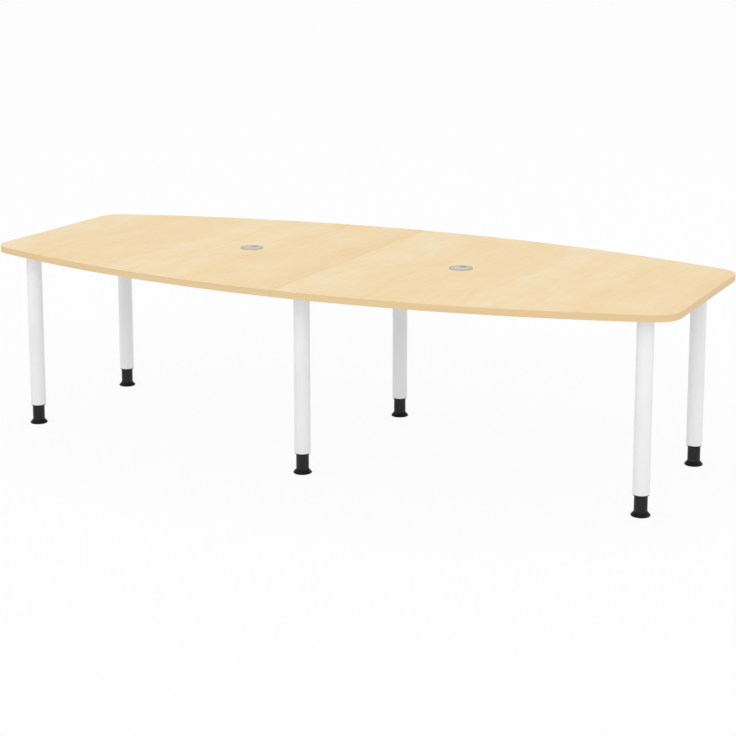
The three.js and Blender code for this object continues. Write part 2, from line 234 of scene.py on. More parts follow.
# What the finishes are figured with; the maple is drawn flat, so its third number has no effect
MAPLE_WANDER = Figure(waves=(1.3, 1.6, 1), start=0.2, full=0.8)
MAPLE_BLOTCHES = Figure(waves=(6, 4, 1), detail=3.0, start=0.35, full=0.7, share=0.55)
MAPLE_PATCHES = Figure(waves=(15, 8, 1), detail=3.0, start=0.42, full=0.6)
MAPLE_STREAKS = Figure(waves=(26, 3.5, 1), detail=3.0, start=0.45, full=0.8, share=0.35)
MAPLE_PALE_STREAKS = Figure(waves=(30, 4.5, 1), detail=3.0, start=0.45, full=0.8, share=0.6)
MAPLE_FIBRES = Figure(waves=(620, 9, 1), start=0.5, full=0.85, share=0.4)
MAPLE_FLECKS = Figure(waves=(330, 42, 1), detail=1.0, start=0.66, full=0.78, share=0.35)
BACKING_MOTTLE = Figure(waves=(260, 260, 260), detail=4.0)
BACKING_CLOUD = Figure(waves=(5, 5, 5), start=0.2)
EDGE_LINES = Figure(waves=(5, 5, 900), detail=3.0, start=0.45, full=0.8, share=0.5)
EDGE_PATCHES = Figure(waves=(3, 3, 40))
COAT_PEEL = Figure(waves=(420, 420, 420))
COAT_CLOUD = Figure(waves=(9, 9, 4))
PLASTIC_GRAIN = Figure(waves=(1600, 1600, 1600))
PLASTIC_CLOUD = Figure(waves=(60, 60, 60), detail=3.0)
SCUFFS = Figure(waves=(240, 240, 600), detail=4.0, start=0.55, full=0.75)
SCUFF_SHARE = 0.5  # at the bottom of the scuffs, and none at their top
SCUFF_BOTTOM = 0.5 * MM
SCUFF_TOP = 4 * MM
ZINC_CLOUD = Figure(waves=(180, 180, 180), detail=3.0)
ZINC_BRUSH = Figure(waves=(2200, 120, 2200))
BEECH_FIBRES = Figure(waves=(40, 1500, 1500), detail=3.0, start=0.4, full=0.75)

# How they take the light
MAPLE_GLOSS = Gloss(smooth=0.44, rough=0.54, relief=0.02 * MM, sheen=0.2)
BACKING_GLOSS = Gloss(smooth=0.55, rough=0.65, relief=0.02 * MM, sheen=0.2)
EDGE_GLOSS = Gloss(smooth=0.42, rough=0.52, relief=0.02 * MM, sheen=0.25)
COAT_GLOSS = Gloss(smooth=0.36, rough=0.46, relief=0.06 * MM, sheen=0.4)
PLASTIC_GLOSS = Gloss(smooth=0.42, rough=0.58, relief=0.04 * MM, sheen=0.25)
BASE_GLOSS = Gloss(smooth=0.42, rough=0.58, relief=0.04 * MM, sheen=0.16)
ZINC_GLOSS = Gloss(smooth=0.26, rough=0.42, relief=0.01 * MM, metal=1.0)
BEECH_GLOSS = Gloss(smooth=0.6, rough=0.75, relief=0.05 * MM)

# Sockets of a Mix node that mixes colours, whose names repeat for each kind of value
MIX_SHARE = 0
MIX_FIRST = 6
MIX_SECOND = 7
MIX_RESULT = 2

# Stage, light and camera
FLOOR_SIZE = 160
FLOOR_ALBEDO = 0.9
FLOOR_CLEAR_SHARE = 0.9  # of the floor as the camera sees it, the rest takes the table's shadow
WHITE = (1, 1, 1, 1)
WHITE_LEVEL = 1  # of the dome as the camera sees it
DOME_LEVEL = 0.9  # of the dome as it lights the table
KEY_PLACE = (4.6, -12.0, 7.5)
KEY_SIZE = 7.0
KEY_POWER = 330
CAMERA_PLACE = (3.0972, -6.1170, 2.1073)
CAMERA_TURN = math.radians(26.387)  # from looking along +Y towards -X
CAMERA_PITCH = math.radians(10.138)  # below the horizon
CAMERA_LENS = 88.91  # mm
CAMERA_SENSOR = 36  # mm
CAMERA_SHIFT = -0.2


def linear(colour):
    """A colour given as it is seen, as the linear values that a shader takes."""
    def channel(value):
        share = value / SEEN_TOP
        if share <= CURVE_KNEE:
            return share / CURVE_SLOPE
        return ((share + CURVE_OFFSET) / (1 + CURVE_OFFSET)) ** CURVE_POWER
    return (*(channel(value) for value in colour), 1.0)


class Finish:
    """A material whose colour, gloss and relief come from nodes in the object's own metres."""

    def __init__(self, name):
        self.material = bpy.data.materials.new(name)
        self.material.use_nodes = True
        self.tree = self.material.node_tree
        self.shader = self.tree.nodes["Principled BSDF"]
        self.place = self.node("ShaderNodeTexCoord").outputs["Object"]

    def feed(self, socket, value):
        if isinstance(value, bpy.types.NodeSocket):
            self.tree.links.new(value, socket)
        else:
            socket.default_value = value

    def node(self, kind, inputs=None, **settings):
        made = self.tree.nodes.new(kind)
        for key, value in settings.items():
            setattr(made, key, value)
        for socket, value in (inputs or {}).items():
            self.feed(made.inputs[socket], value)
        return made

    def math(self, operation, *values):
        inputs = dict(enumerate(values))
        return self.node("ShaderNodeMath", inputs, operation=operation).outputs[0]

    def axes(self):
        """The place's X, Y and Z."""
        return self.node("ShaderNodeSeparateXYZ", {"Vector": self.place}).outputs

    def flat(self, x, y):
        """A place from two values, with no height."""
        return self.node("ShaderNodeCombineXYZ", {"X": x, "Y": y}).outputs[0]

    def noise(self, figure, place=None):
        """Noise from 0 to 1, laid as a figure says, on the object's own place if no other is given."""
        inputs = {"Vector": place or self.place, "Scale": figure.waves}
        scaled = self.node("ShaderNodeMapping", inputs).outputs[0]
        inputs = {"Vector": scaled, "Scale": 1.0, "Detail": figure.detail}
        return self.node("ShaderNodeTexNoise", inputs).outputs["Fac"]

    def spread(self, value, low, high, to_low, to_high):
        inputs = {"Value": value, "From Min": low, "From Max": high, "To Min": to_low, "To Max": to_high}
        return self.node("ShaderNodeMapRange", inputs).outputs[0]

    def share(self, figure, noise):
        """What a figure makes of its noise: from none to its share."""
        return self.spread(noise, figure.start, figure.full, 0.0, figure.share)

    def drawn(self, figure, place=None):
        """The share of a figure whose noise is used for nothing else."""
        return self.share(figure, self.noise(figure, place))

    def mix(self, share, first, second):
        inputs = {MIX_SHARE: share, MIX_FIRST: first, MIX_SECOND: second}
        return self.node("ShaderNodeMix", inputs, data_type="RGBA").outputs[MIX_RESULT]

    def ramp(self, value, stops):
        made = self.node("ShaderNodeValToRGB", {"Fac": value})
        elements = made.color_ramp.elements
        elements.remove(elements[1])
        for i, (position, colour) in enumerate(stops):
            element = elements[0] if i == 0 else elements.new(position)
            element.position = position
            element.color = linear(colour)
        made.color_ramp.interpolation = "EASE"
        return made.outputs["Color"]

    def surface(self, colour, gloss, patches, grain):
        """The material, once its shader has a colour, roughness in patches and a raised grain."""
        sockets = self.shader.inputs
        rough = self.spread(patches, NOISE_LOW, NOISE_HIGH, gloss.smooth, gloss.rough)
        bump = self.node("ShaderNodeBump", {"Height": grain, "Distance": gloss.relief, "Strength": 1.0})
        self.feed(sockets["Base Color"], colour)
        self.feed(sockets["Roughness"], rough)
        self.feed(sockets["Normal"], bump.outputs["Normal"])
        self.feed(sockets["Specular IOR Level"], gloss.sheen)
        self.feed(sockets["Metallic"], gloss.metal)
        return self.material


def maple_face():
    """Melamine board with a pale maple decor, whose streaks run across the table."""
    finish = Finish("maple_face")
    warm, light, fibre = linear(MAPLE_WARM), linear(MAPLE_LIGHT), linear(MAPLE_FIBRE)
    axes = finish.axes()
    left_half = finish.math("LESS_THAN", axes["X"], 0.0)
    decor = finish.math("MULTIPLY_ADD", left_half, DECOR_REPEAT, axes["X"])
    bend = finish.noise(MAPLE_WANDER, finish.flat(decor, axes["Y"]))
    wander = finish.spread(bend, MAPLE_WANDER.start, MAPLE_WANDER.full, -WANDER_REACH, WANDER_REACH)
    bent = finish.math("ADD", decor, wander)
    place = finish.flat(bent, axes["Y"])
    tones = [(distance / DECOR_REPEAT, tone) for distance, tone in DECOR_TONES]
    colour = finish.ramp(finish.math("DIVIDE", bent, DECOR_REPEAT), tones)
    colour = finish.mix(finish.drawn(MAPLE_BLOTCHES, place), colour, warm)
    patches = finish.drawn(MAPLE_PATCHES, place)
    for centre, strength in FLAMES:
        off = finish.math("ABSOLUTE", finish.math("SUBTRACT", bent, centre))
        near = finish.spread(off, 0.0, FLAME_REACH, strength, 0.0)
        colour = finish.mix(finish.math("MULTIPLY", near, patches), colour, warm)
    colour = finish.mix(finish.drawn(MAPLE_STREAKS, place), colour, warm)
    colour = finish.mix(finish.drawn(MAPLE_PALE_STREAKS, place), colour, light)
    fibres = finish.noise(MAPLE_FIBRES, place)
    colour = finish.mix(finish.share(MAPLE_FIBRES, fibres), colour, fibre)
    colour = finish.mix(finish.drawn(MAPLE_FLECKS, place), colour, fibre)
    return finish.surface(colour, MAPLE_GLOSS, fibres, fibres)


def backing():
    """The plain balancing sheet pressed on a board's underside, with its faint paper mottle."""
    finish = Finish("backing")
    mottle = finish.noise(BACKING_MOTTLE)
    cloud = finish.drawn(BACKING_CLOUD)
    share = finish.math("MULTIPLY", finish.share(BACKING_MOTTLE, mottle), cloud)
    colour = finish.mix(share, linear(BACKING_DIP), linear(BACKING))
    return finish.surface(colour, BACKING_GLOSS, mottle, mottle)


def maple_edge():
    """Plastic edge band printed like the board, its grain along the edge."""
    finish = Finish("maple_edge")
    lines = finish.noise(EDGE_LINES)
    tone = finish.mix(finish.drawn(EDGE_PATCHES), linear(MAPLE_EDGE_WARM), linear(MAPLE_EDGE))
    colour = finish.mix(finish.share(EDGE_LINES, lines), tone, linear(MAPLE_EDGE_LINE))
    return finish.surface(colour, EDGE_GLOSS, lines, lines)


def white_coat():
    """White powder coat, with the faint orange peel that it cures to."""
    finish = Finish("white_coat")
    peel = finish.noise(COAT_PEEL)
    colour = finish.mix(finish.drawn(COAT_CLOUD), linear(WHITE_COAT_DIP), linear(WHITE_COAT))
    return finish.surface(colour, COAT_GLOSS, peel, peel)


def moulded(name, colour, dip, gloss=PLASTIC_GLOSS, scuffed=False):
    """Moulded plastic with a fine spark-eroded grain, and scuffs near the floor if asked for."""
    finish = Finish(name)
    grain = finish.noise(PLASTIC_GRAIN)
    tone = finish.mix(finish.drawn(PLASTIC_CLOUD), linear(dip), linear(colour))
    if scuffed:
        low = finish.spread(finish.axes()["Z"], SCUFF_BOTTOM, SCUFF_TOP, SCUFF_SHARE, 0.0)
        rubs = finish.math("MULTIPLY", low, finish.drawn(SCUFFS))
        tone = finish.mix(rubs, tone, linear(SCUFF_GREY))
    return finish.surface(tone, gloss, grain, grain)


def zinc_steel():
    """Bright zinc plate, with cloudy patches in its gloss."""
    finish = Finish("zinc_steel")
    cloud = finish.noise(ZINC_CLOUD)
    colour = finish.mix(finish.share(ZINC_CLOUD, cloud), linear(ZINC_DIP), linear(ZINC))
    return finish.surface(colour, ZINC_GLOSS, cloud, finish.noise(ZINC_BRUSH))


def beech():
    """Raw beech, with its short dark flecks along the dowel."""
    finish = Finish("beech")
    fibres = finish.noise(BEECH_FIBRES)
    colour = finish.mix(finish.share(BEECH_FIBRES, fibres), linear(BEECH), linear(BEECH_DIP))
    return finish.surface(colour, BEECH_GLOSS, fibres, fibres)


def arc(centre, radius, start, end, steps):
    """Points on an arc between two angles, both ends included."""
    angles = [start + (end - start) * i / steps for i in range(steps + 1)]
    return [(centre[0] + radius * math.cos(a), centre[1] + radius * math.sin(a)) for a in angles]


def circle(centre, radius, sides):
    """Points round a circle, the first one not repeated."""
    return arc(centre, radius, 0, 2 * math.pi, sides)[:-1]


def rounded(corners):
    """A closed outline from (a, b, radius) corners, with an arc at each corner that has a radius."""
    points = []
    for i, (a, b, radius) in enumerate(corners):
        corner = Vector((a, b))
        if not radius:
            points.append(corner)
            continue
        back = (Vector(corners[i - 1][:2]) - corner).normalized()
        ahead = (Vector(corners[(i + 1) % len(corners)][:2]) - corner).normalized()
        half = back.angle(ahead) / 2
        centre = corner + (back + ahead).normalized() * radius / math.sin(half)
        spoke = corner + back * radius / math.tan(half) - centre
        last = corner + ahead * radius / math.tan(half) - centre
        turn = math.atan2(spoke.x * last.y - spoke.y * last.x, spoke.dot(last))
        for step in range(FILLET_STEPS + 1):
            points.append(centre + Matrix.Rotation(turn * step / FILLET_STEPS, 2) @ spoke)
    return points


def to_mesh(bm, name, *materials):
    """The finished mesh of a bmesh: doubled points merged, and smooth apart from its real edges."""
    bmesh.ops.remove_doubles(bm, verts=bm.verts, dist=MERGE_DISTANCE)
    bmesh.ops.recalc_face_normals(bm, faces=bm.faces)
    mesh = bpy.data.meshes.new(name)
    bm.to_mesh(mesh)
    bm.free()
    for material in materials:
        mesh.materials.append(material)
    mesh.shade_smooth()
    mesh.set_sharp_from_angle(angle=SHARP_ANGLE)
    return mesh


def join_rings(bm, rings):
    """Faces between each closed ring of vertices and the next, and from the last to the first."""
    for ring, following in zip(rings, rings[1:] + rings[:1]):
        for i in range(len(ring)):
            j = (i + 1) % len(ring)
            bm.faces.new((ring[i], ring[j], following[j], following[i]))


def lathe(profile, sides=ROUND_SIDES):
    """A bmesh turned about Z from a closed outline of (radius, height) points."""
    bm = bmesh.new()
    rings = []
    for k in range(sides):
        angle = 2 * math.pi * k / sides
        turned = [(r * math.cos(angle), r * math.sin(angle), z) for r, z in profile]
        rings.append([bm.verts.new(place) for place in turned])
    join_rings(bm, rings)
    return bm


def slab(loops, bottom, top, edge=0.0):
    """A bmesh of a flat plate from an outline and its holes, loops of (x, y) points, edges rounded."""
    curve = bpy.data.curves.new("slab", "CURVE")
    curve.dimensions = "2D"
    curve.fill_mode = "BOTH"
    curve.extrude = (top - bottom) / 2 - edge
    curve.bevel_depth = edge
    curve.bevel_resolution = EDGE_STEPS
    curve.offset = -edge
    for loop in loops:
        spline = curve.splines.new("POLY")
        spline.points.add(len(loop) - 1)
        for point, (x, y) in zip(spline.points, loop):
            point.co = (x, y, 0, 1)
        spline.use_cyclic_u = True
    drawn = bpy.data.objects.new("slab", curve)
    mesh = bpy.data.meshes.new_from_object(drawn)
    bm = bmesh.new()
    bm.from_mesh(mesh)
    bmesh.ops.translate(bm, verts=bm.verts, vec=(0, 0, (bottom + top) / 2))
    bpy.data.objects.remove(drawn)
    bpy.data.curves.remove(curve)
    bpy.data.meshes.remove(mesh)
    return bm


def combined(*parts):
    """One bmesh of several."""
    whole = bmesh.new()
    for part in parts:
        mesh = bpy.data.meshes.new("part")
        part.to_mesh(mesh)
        part.free()
        whole.from_mesh(mesh)
        bpy.data.meshes.remove(mesh)
    return whole


def copies(mesh, places):
    """A bmesh with a copy of a mesh at each place."""
    bm = bmesh.new()
    for place in places:
        before = len(bm.verts)
        bm.from_mesh(mesh)
        bm.verts.ensure_lookup_table()
        bmesh.ops.translate(bm, verts=bm.verts[before:], vec=place)
    return bm


def carve(mesh, tool):
    """The mesh with a tool's shape cut out of it."""
    whole = bpy.data.objects.new("whole", mesh)
    cutter = bpy.data.objects.new("cutter", tool)
    for piece in (whole, cutter):
        bpy.context.scene.collection.objects.link(piece)
    modifier = whole.modifiers.new("cut", "BOOLEAN")
    modifier.object = cutter
    modifier.operation = "DIFFERENCE"
    modifier.solver = "EXACT"
    graph = bpy.context.evaluated_depsgraph_get()
    carved = bpy.data.meshes.new_from_object(whole.evaluated_get(graph))
    for piece in (whole, cutter):
        bpy.data.objects.remove(piece)
    carved.set_sharp_from_angle(angle=SHARP_ANGLE)
    return carved


def show(name, mesh, body, nodes=(), place=(0, 0, 0), turn=0.0):
    """Puts a piece in the scene, riding on a body, in place of the nodes it stands for."""
    piece = bpy.data.objects.new(name, mesh)
    piece.location = place
    piece.rotation_euler.z = turn
    bpy.context.scene.collection.objects.link(piece)
    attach(piece, body)
    if nodes:
        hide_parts(*nodes)


def half_outline(inset, seam_inset):
    """The right half's outline as (x, y) points, drawn in by inset, and at the seam by seam_inset."""
    half_length = cad_high.x
    half_middle = cad_high.y
    rise = half_middle - END_WIDTH / 2
    side_radius = (half_length**2 + rise**2) / (2 * rise)
    side_centre = half_middle - side_radius
    corner_x = half_length - CORNER_RADIUS
    corner_y = side_centre + math.sqrt((side_radius - CORNER_RADIUS) ** 2 - corner_x**2)
    side, corner = side_radius - inset, CORNER_RADIUS - inset
    seam_angle = math.acos((SEAM_GAP / 2 + seam_inset) / side)
    corner_angle = math.atan2(corner_y - side_centre, corner_x)
    return [
        *arc((0, -side_centre), side, -seam_angle, -corner_angle, SIDE_STEPS),
        *arc((corner_x, -corner_y), corner, -corner_angle, 0, CORNER_STEPS)[1:],
        *arc((corner_x, corner_y), corner, 0, corner_angle, CORNER_STEPS),
        *arc((0, side_centre), side, corner_angle, seam_angle, SIDE_STEPS)[1:],
    ]


def make_half(side, turn, face, under, edge):
    """A board and its edge band, drawn for the right half and turned round for the left."""
    low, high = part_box(f"tabletop_{side}")
    outlet_low, outlet_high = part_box(f"outlet_sleeve_{side}")
    spin = Matrix.Rotation(turn, 4, "Z")
    outlet_x = abs(outlet_low.x + outlet_high.x) / 2
    bore = circle((outlet_x, 0), OUTLET_BORE / 2, ROUND_SIDES)
    board_inset = BAND_THICKNESS + GLUE_LINE
    outline = half_outline(board_inset, board_inset)
    board = to_mesh(slab([outline, bore[::-1]], low.z, high.z), f"board_{side}", face, under)
    for panel in board.polygons:
        panel.material_index = 1 if panel.normal.z < -SQUARE_TO_Z else 0
    board.transform(spin)
    show(f"board_{side}", board, "table", [f"tabletop_{side}"])

    section = rounded([
        (0, low.z, BAND_ARRIS),
        (0, high.z, BAND_ARRIS),
        (BAND_THICKNESS, high.z, 0),
        (BAND_THICKNESS, low.z, 0),
    ])
    bm = bmesh.new()
    rings = []
    for inset, z in section:
        seam_inset = inset * SEAM_ARRIS / BAND_ARRIS if inset <= BAND_ARRIS else inset
        rings.append([bm.verts.new((x, y, z)) for x, y in half_outline(inset, seam_inset)])
    join_rings(bm, rings)
    band = to_mesh(bm, f"band_{side}", edge, face)
    for strip in band.polygons:
        strip.material_index = 1 if strip.normal.z > SQUARE_TO_Z else 0
    band.transform(spin)
    show(f"band_{side}", band, "table", [f"edge_band_{side}"])


def notched_disc(radius, turn):
    """Outline of a disc with a round-ended notch in its +Y rim, turned about its axis."""
    half = NOTCH_WIDTH / 2
    mouth = math.acos(half / radius)
    outline = [
        *arc((0, 0), radius, math.pi - mouth, 2 * math.pi + mouth, ROUND_SIDES),
        *arc((0, NOTCH_FROM_AXIS + half), half, 0, -math.pi, CORNER_STEPS),
    ]
    spin = Matrix.Rotation(turn, 2)
    return [tuple(spin @ Vector(point)) for point in outline]


def make_outlet(side, grey, rim_grey):
    """A cable outlet: its sleeve, the lid with the pivot under it, and the shutter."""
    low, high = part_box(f"outlet_sleeve_{side}")
    lid_low, lid_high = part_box(f"outlet_lid_{side}")
    shutter_low, shutter_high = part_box(f"outlet_shutter_{side}")
    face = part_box(f"tabletop_{side}")[1].z
    place = ((low.x + high.x) / 2, 0, 0)
    flange = (high.x - low.x) / 2
    outer = OUTLET_BORE / 2 - FIT_GAP
    recess = outer - OUTLET_WALL
    bore = recess - OUTLET_LEDGE
    lid_bottom = lid_high.z - LID_THICKNESS
    sleeve = lathe(rounded([
        (bore, low.z, SMALL_ROUND),
        (outer, low.z, SMALL_ROUND),
        (outer, face, 0),
        (flange, face, 0),
        (flange, high.z, FLANGE_ROUND),
        (recess, high.z, LID_EDGE),
        (recess, lid_bottom, 0),
        (bore, lid_bottom, SMALL_ROUND),
    ]))
    sleeve_mesh = to_mesh(sleeve, f"sleeve_{side}", rim_grey)
    show(f"sleeve_{side}", sleeve_mesh, "table", [f"outlet_sleeve_{side}"], place)

    lid_radius = recess - FIT_GAP
    head = PIVOT_RADIUS + PIVOT_HEAD_STEP
    head_top = lid_low.z + PIVOT_HEAD_HEIGHT
    plate = slab([notched_disc(lid_radius, 0)], lid_bottom, lid_high.z, LID_EDGE)
    pivot = lathe(rounded([
        (0, lid_low.z, 0),
        (head, lid_low.z, SMALL_ROUND),
        (head, head_top, SMALL_ROUND),
        (PIVOT_RADIUS, head_top, 0),
        (PIVOT_RADIUS, lid_bottom + LID_EDGE, 0),
        (0, lid_bottom + LID_EDGE, 0),
    ]), SMALL_SIDES)
    lid_mesh = to_mesh(combined(plate, pivot), f"lid_{side}", grey)
    show(f"lid_{side}", lid_mesh, f"lid_{side}", [f"outlet_lid_{side}"], place)

    shutter_radius = (shutter_high.y - shutter_low.y) / 2
    pivot_hole = circle((0, 0), PIVOT_RADIUS + FIT_GAP, SMALL_SIDES)
    loops = [notched_disc(shutter_radius, -math.pi / 2), pivot_hole[::-1]]
    disc = slab(loops, shutter_low.z, shutter_high.z, SHUTTER_EDGE)
    disc_mesh = to_mesh(disc, f"shutter_{side}", grey)
    nodes = [f"outlet_shutter_{side}"]
    show(f"shutter_{side}", disc_mesh, f"shutter_{side}", nodes, place)


def drilled_plate(size, corner, hole, inset, bottom, top):
    """A rounded plate with a hole near each corner, as a bmesh, and the holes' places."""
    half_x, half_y = size[0] / 2, size[1] / 2
    outline = rounded([
        (half_x, -half_y, corner),
        (half_x, half_y, corner),
        (-half_x, half_y, corner),
        (-half_x, -half_y, corner),
    ])
    places = [(sx * (half_x - inset), sy * (half_y - inset)) for sx in (-1, 1) for sy in (-1, 1)]
    holes = [circle(place, hole / 2, SMALL_SIDES)[::-1] for place in places]
    return slab([outline, *holes], bottom, top, SMALL_ROUND), places


def wood_screw(head, length, zinc):
    """A pan-head screw with a cross recess, its head below z = 0 and its shank above."""
    height = head * SCREW_HEAD_SHARE
    shank = head * SCREW_SHANK_SHARE
    body = to_mesh(lathe(rounded([
        (0, -height, 0),
        (head * SCREW_DOME_SHARE, -height * SCREW_DOME_HEIGHT, head * SCREW_DOME_ROUND),
        (head, -height * SCREW_SIDE_HEIGHT, head * SCREW_SIDE_ROUND),
        (head, 0, 0),
        (shank, 0, 0),
        (shank, length - SCREW_TIP_SHARE * shank, 0),
        (0, length, 0),
    ]), SMALL_SIDES), "screw", zinc)
    reach, half = head * RECESS_REACH_SHARE, head * RECESS_WIDTH_SHARE / 2
    cross = [
        (reach, -half), (reach, half), (half, half), (half, reach), (-half, reach), (-half, half),
        (-reach, half), (-reach, -half), (-half, -half), (-half, -reach), (half, -reach), (half, -half),
    ]
    tool = to_mesh(slab([cross], -2 * height, -height * (1 - RECESS_DEPTH_SHARE)), "cross", zinc)
    return carve(body, tool)


def leg_plate(low, high, tube_radius, coat):
    """A leg's plate with the spigot under it, about the leg's axis, and its screw places."""
    size = (high.x - low.x, high.y - low.y)
    bottom = high.z - PLATE_THICKNESS
    plate, places = drilled_plate(size, PLATE_CORNER, PLATE_HOLE, PLATE_HOLE_INSET, bottom, high.z)
    outer = tube_radius - LEG_WALL - FIT_GAP
    inner = outer - SPIGOT_WALL
    spigot = lathe(rounded([
        (inner, low.z, SMALL_ROUND),
        (outer, low.z, SMALL_ROUND),
        (outer, bottom + SMALL_ROUND, 0),
        (inner, bottom + SMALL_ROUND, 0),
    ]))
    return to_mesh(combined(plate, spigot), "leg_plate", coat), places


def leg_tube(low, high, radius, screw_height, coat):
    """A leg's tube about its axis, with the set screw's hole in its +Y side."""
    bore = radius - LEG_WALL
    tube = to_mesh(lathe(rounded([
        (bore, low.z, SMALL_ROUND),
        (radius, low.z, LEG_END_ROUND),
        (radius, high.z, SMALL_ROUND),
        (bore, high.z, SMALL_ROUND),
    ])), "leg_tube", coat)
    hole = slab([circle((0, 0), SET_SCREW_HOLE / 2, SMALL_SIDES)], 0, 2 * radius)
    drill = to_mesh(hole, "drill", coat)
    drill.transform(Matrix.Translation((0, 0, screw_height)) @ Matrix.Rotation(-math.pi / 2, 4, "X"))
    return carve(tube, drill)


def set_screw(length, zinc):
    """A socket set screw along Z, its socket at the top end, z = 0."""
    radius = SET_SCREW_DIAMETER / 2
    body = to_mesh(lathe(rounded([
        (0, -length, 0),
        (radius, -length, SMALL_ROUND),
        (radius, 0, SMALL_ROUND),
        (0, 0, 0),
    ]), SMALL_SIDES), "set_screw", zinc)
    corner = SET_SCREW_SOCKET / 2 / math.cos(math.pi / HEX_SIDES)
    hexagon = circle((0, 0), corner, HEX_SIDES)
    tool = to_mesh(slab([hexagon], -SET_SCREW_SOCKET_DEPTH, SET_SCREW_SOCKET_DEPTH), "socket", zinc)
    return carve(body, tool)


def foot_bush(low, high, radius, black):
    """The bush that guides a foot, with the collar that shows under the tube."""
    outer = radius - LEG_WALL - FIT_GAP
    bore = outer - BUSH_WALL
    collar = (high.x - low.x) / 2
    top = low.z + BUSH_FLANGE
    return to_mesh(lathe(rounded([
        (bore, low.z, SMALL_ROUND),
        (collar, low.z, COLLAR_ROUND),
        (collar, top, SMALL_ROUND),
        (outer, top, 0),
        (outer, high.z, SMALL_ROUND),
        (bore, high.z, SMALL_ROUND),
    ])), "foot_bush", black)


def spindle_nut(low, high, zinc):
    """The round carrier in a tube that a foot's spindle runs through."""
    radius = (high.x - low.x) / 2
    bore = SPINDLE_RADIUS + FIT_GAP
    return to_mesh(lathe(rounded([
        (bore, low.z, SMALL_ROUND),
        (radius, low.z, SMALL_ROUND),
        (radius, high.z, SMALL_ROUND),
        (bore, high.z, SMALL_ROUND),
    ])), "spindle_nut", zinc)


def foot(low, high, pocket, pocket_top, sleeve, base):
    """A foot: its sleeve, the flared base in a darker plastic whose colour also holds painted shade, and
    the pocket for the spindle.
    """
    rim = (high.x - low.x) / 2
    inner = FOOT_SLEEVE_RADIUS - FOOT_WALL
    shank = SPINDLE_RADIUS + FIT_GAP
    mesh = to_mesh(lathe(rounded([
        (pocket, low.z, SMALL_ROUND),
        (rim, low.z, FOOT_RIM_ROUND),
        (rim, FOOT_RIM_HEIGHT, FOOT_RIM_ROUND),
        (FOOT_SLEEVE_RADIUS, FOOT_FLARE_HEIGHT, FOOT_COVE),
        (FOOT_SLEEVE_RADIUS, high.z, SMALL_ROUND),
        (inner, high.z, SMALL_ROUND),
        (inner, FOOT_FLOOR, 0),
        (shank, FOOT_FLOOR, 0),
        (shank, pocket_top, 0),
        (pocket, pocket_top, 0),
    ])), "foot", sleeve, base)
    for face in mesh.polygons:
        face.material_index = 1 if face.center.z < FOOT_FLARE_HEIGHT else 0
    return mesh


def foot_spindle(low, high, zinc):
    """A foot's spindle, its head in the foot's pocket."""
    head = (high.x - low.x) / 2
    head_top = low.z + SPINDLE_HEAD_HEIGHT
    return to_mesh(lathe(rounded([
        (0, low.z, 0),
        (head, low.z, SMALL_ROUND),
        (head, head_top, SMALL_ROUND),
        (SPINDLE_RADIUS, head_top, 0),
        (SPINDLE_RADIUS, high.z, SMALL_ROUND),
        (0, high.z, 0),
    ])), "foot_spindle", zinc)


def make_legs(coat, sleeve_black, base_black_and_shade, zinc):
    """All six legs, from one mesh of each kind of piece."""
    kinds = ("leg_plate", "leg_tube", "set_screw", "foot_bush", "spindle_nut", "foot", "foot_spindle")
    boxes = {kind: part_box(f"{kind}_{PLACES[0]}") for kind in kinds}
    tube_low, tube_high = boxes["leg_tube"]
    radius = (tube_high.x - tube_low.x) / 2
    axis_y = (tube_low.y + tube_high.y) / 2
    screw_low, screw_high = boxes["set_screw"]
    screw_height = (screw_low.z + screw_high.z) / 2
    plate, screw_places = leg_plate(*boxes["leg_plate"], radius, coat)
    plate_bottom = boxes["leg_plate"][1].z - PLATE_THICKNESS
    screw = wood_screw(LEG_SCREW_HEAD, PLATE_THICKNESS + SCREW_DEPTH, zinc)
    screws = to_mesh(copies(screw, [(x, y, plate_bottom) for x, y in screw_places]), "leg_screws", zinc)
    grub = set_screw(screw_high.y - screw_low.y, zinc)
    grub_seat = Matrix.Translation((0, screw_high.y - axis_y, screw_height))
    grub.transform(grub_seat @ Matrix.Rotation(-math.pi / 2, 4, "X"))
    spindle_low, spindle_high = boxes["foot_spindle"]
    pocket = (spindle_high.x - spindle_low.x) / 2 + FIT_GAP
    pocket_top = spindle_low.z + SPINDLE_HEAD_HEIGHT + FIT_GAP
    fixed = {
        "leg_plate": (plate, "white_coat"),
        "leg_tube": (leg_tube(tube_low, tube_high, radius, screw_height, coat), "white_coat"),
        "set_screw": (grub, "zinc_steel"),
        "foot_bush": (foot_bush(*boxes["foot_bush"], radius, sleeve_black), "black_plastic"),
        "spindle_nut": (spindle_nut(*boxes["spindle_nut"], zinc), "zinc_steel"),
    }
    moving = {
        "foot": (foot(*boxes["foot"], pocket, pocket_top, sleeve_black, base_black_and_shade), "black_plastic"),
        "foot_spindle": (foot_spindle(spindle_low, spindle_high, zinc), "zinc_steel"),
    }
    for name in PLACES:
        low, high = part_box(f"leg_tube_{name}")
        place = ((low.x + high.x) / 2, (low.y + high.y) / 2, 0)
        turn = math.pi if name.startswith("rear") else 0.0
        for body, pieces in (("table", fixed), (f"adjuster_{name}", moving)):
            for kind, (mesh, slot) in pieces.items():
                show(f"{kind}_{name}.fine", mesh, body, [f"{kind}_{name}"], place, turn)
        show(f"leg_screws_{name}", screws, "table", (), place, turn)


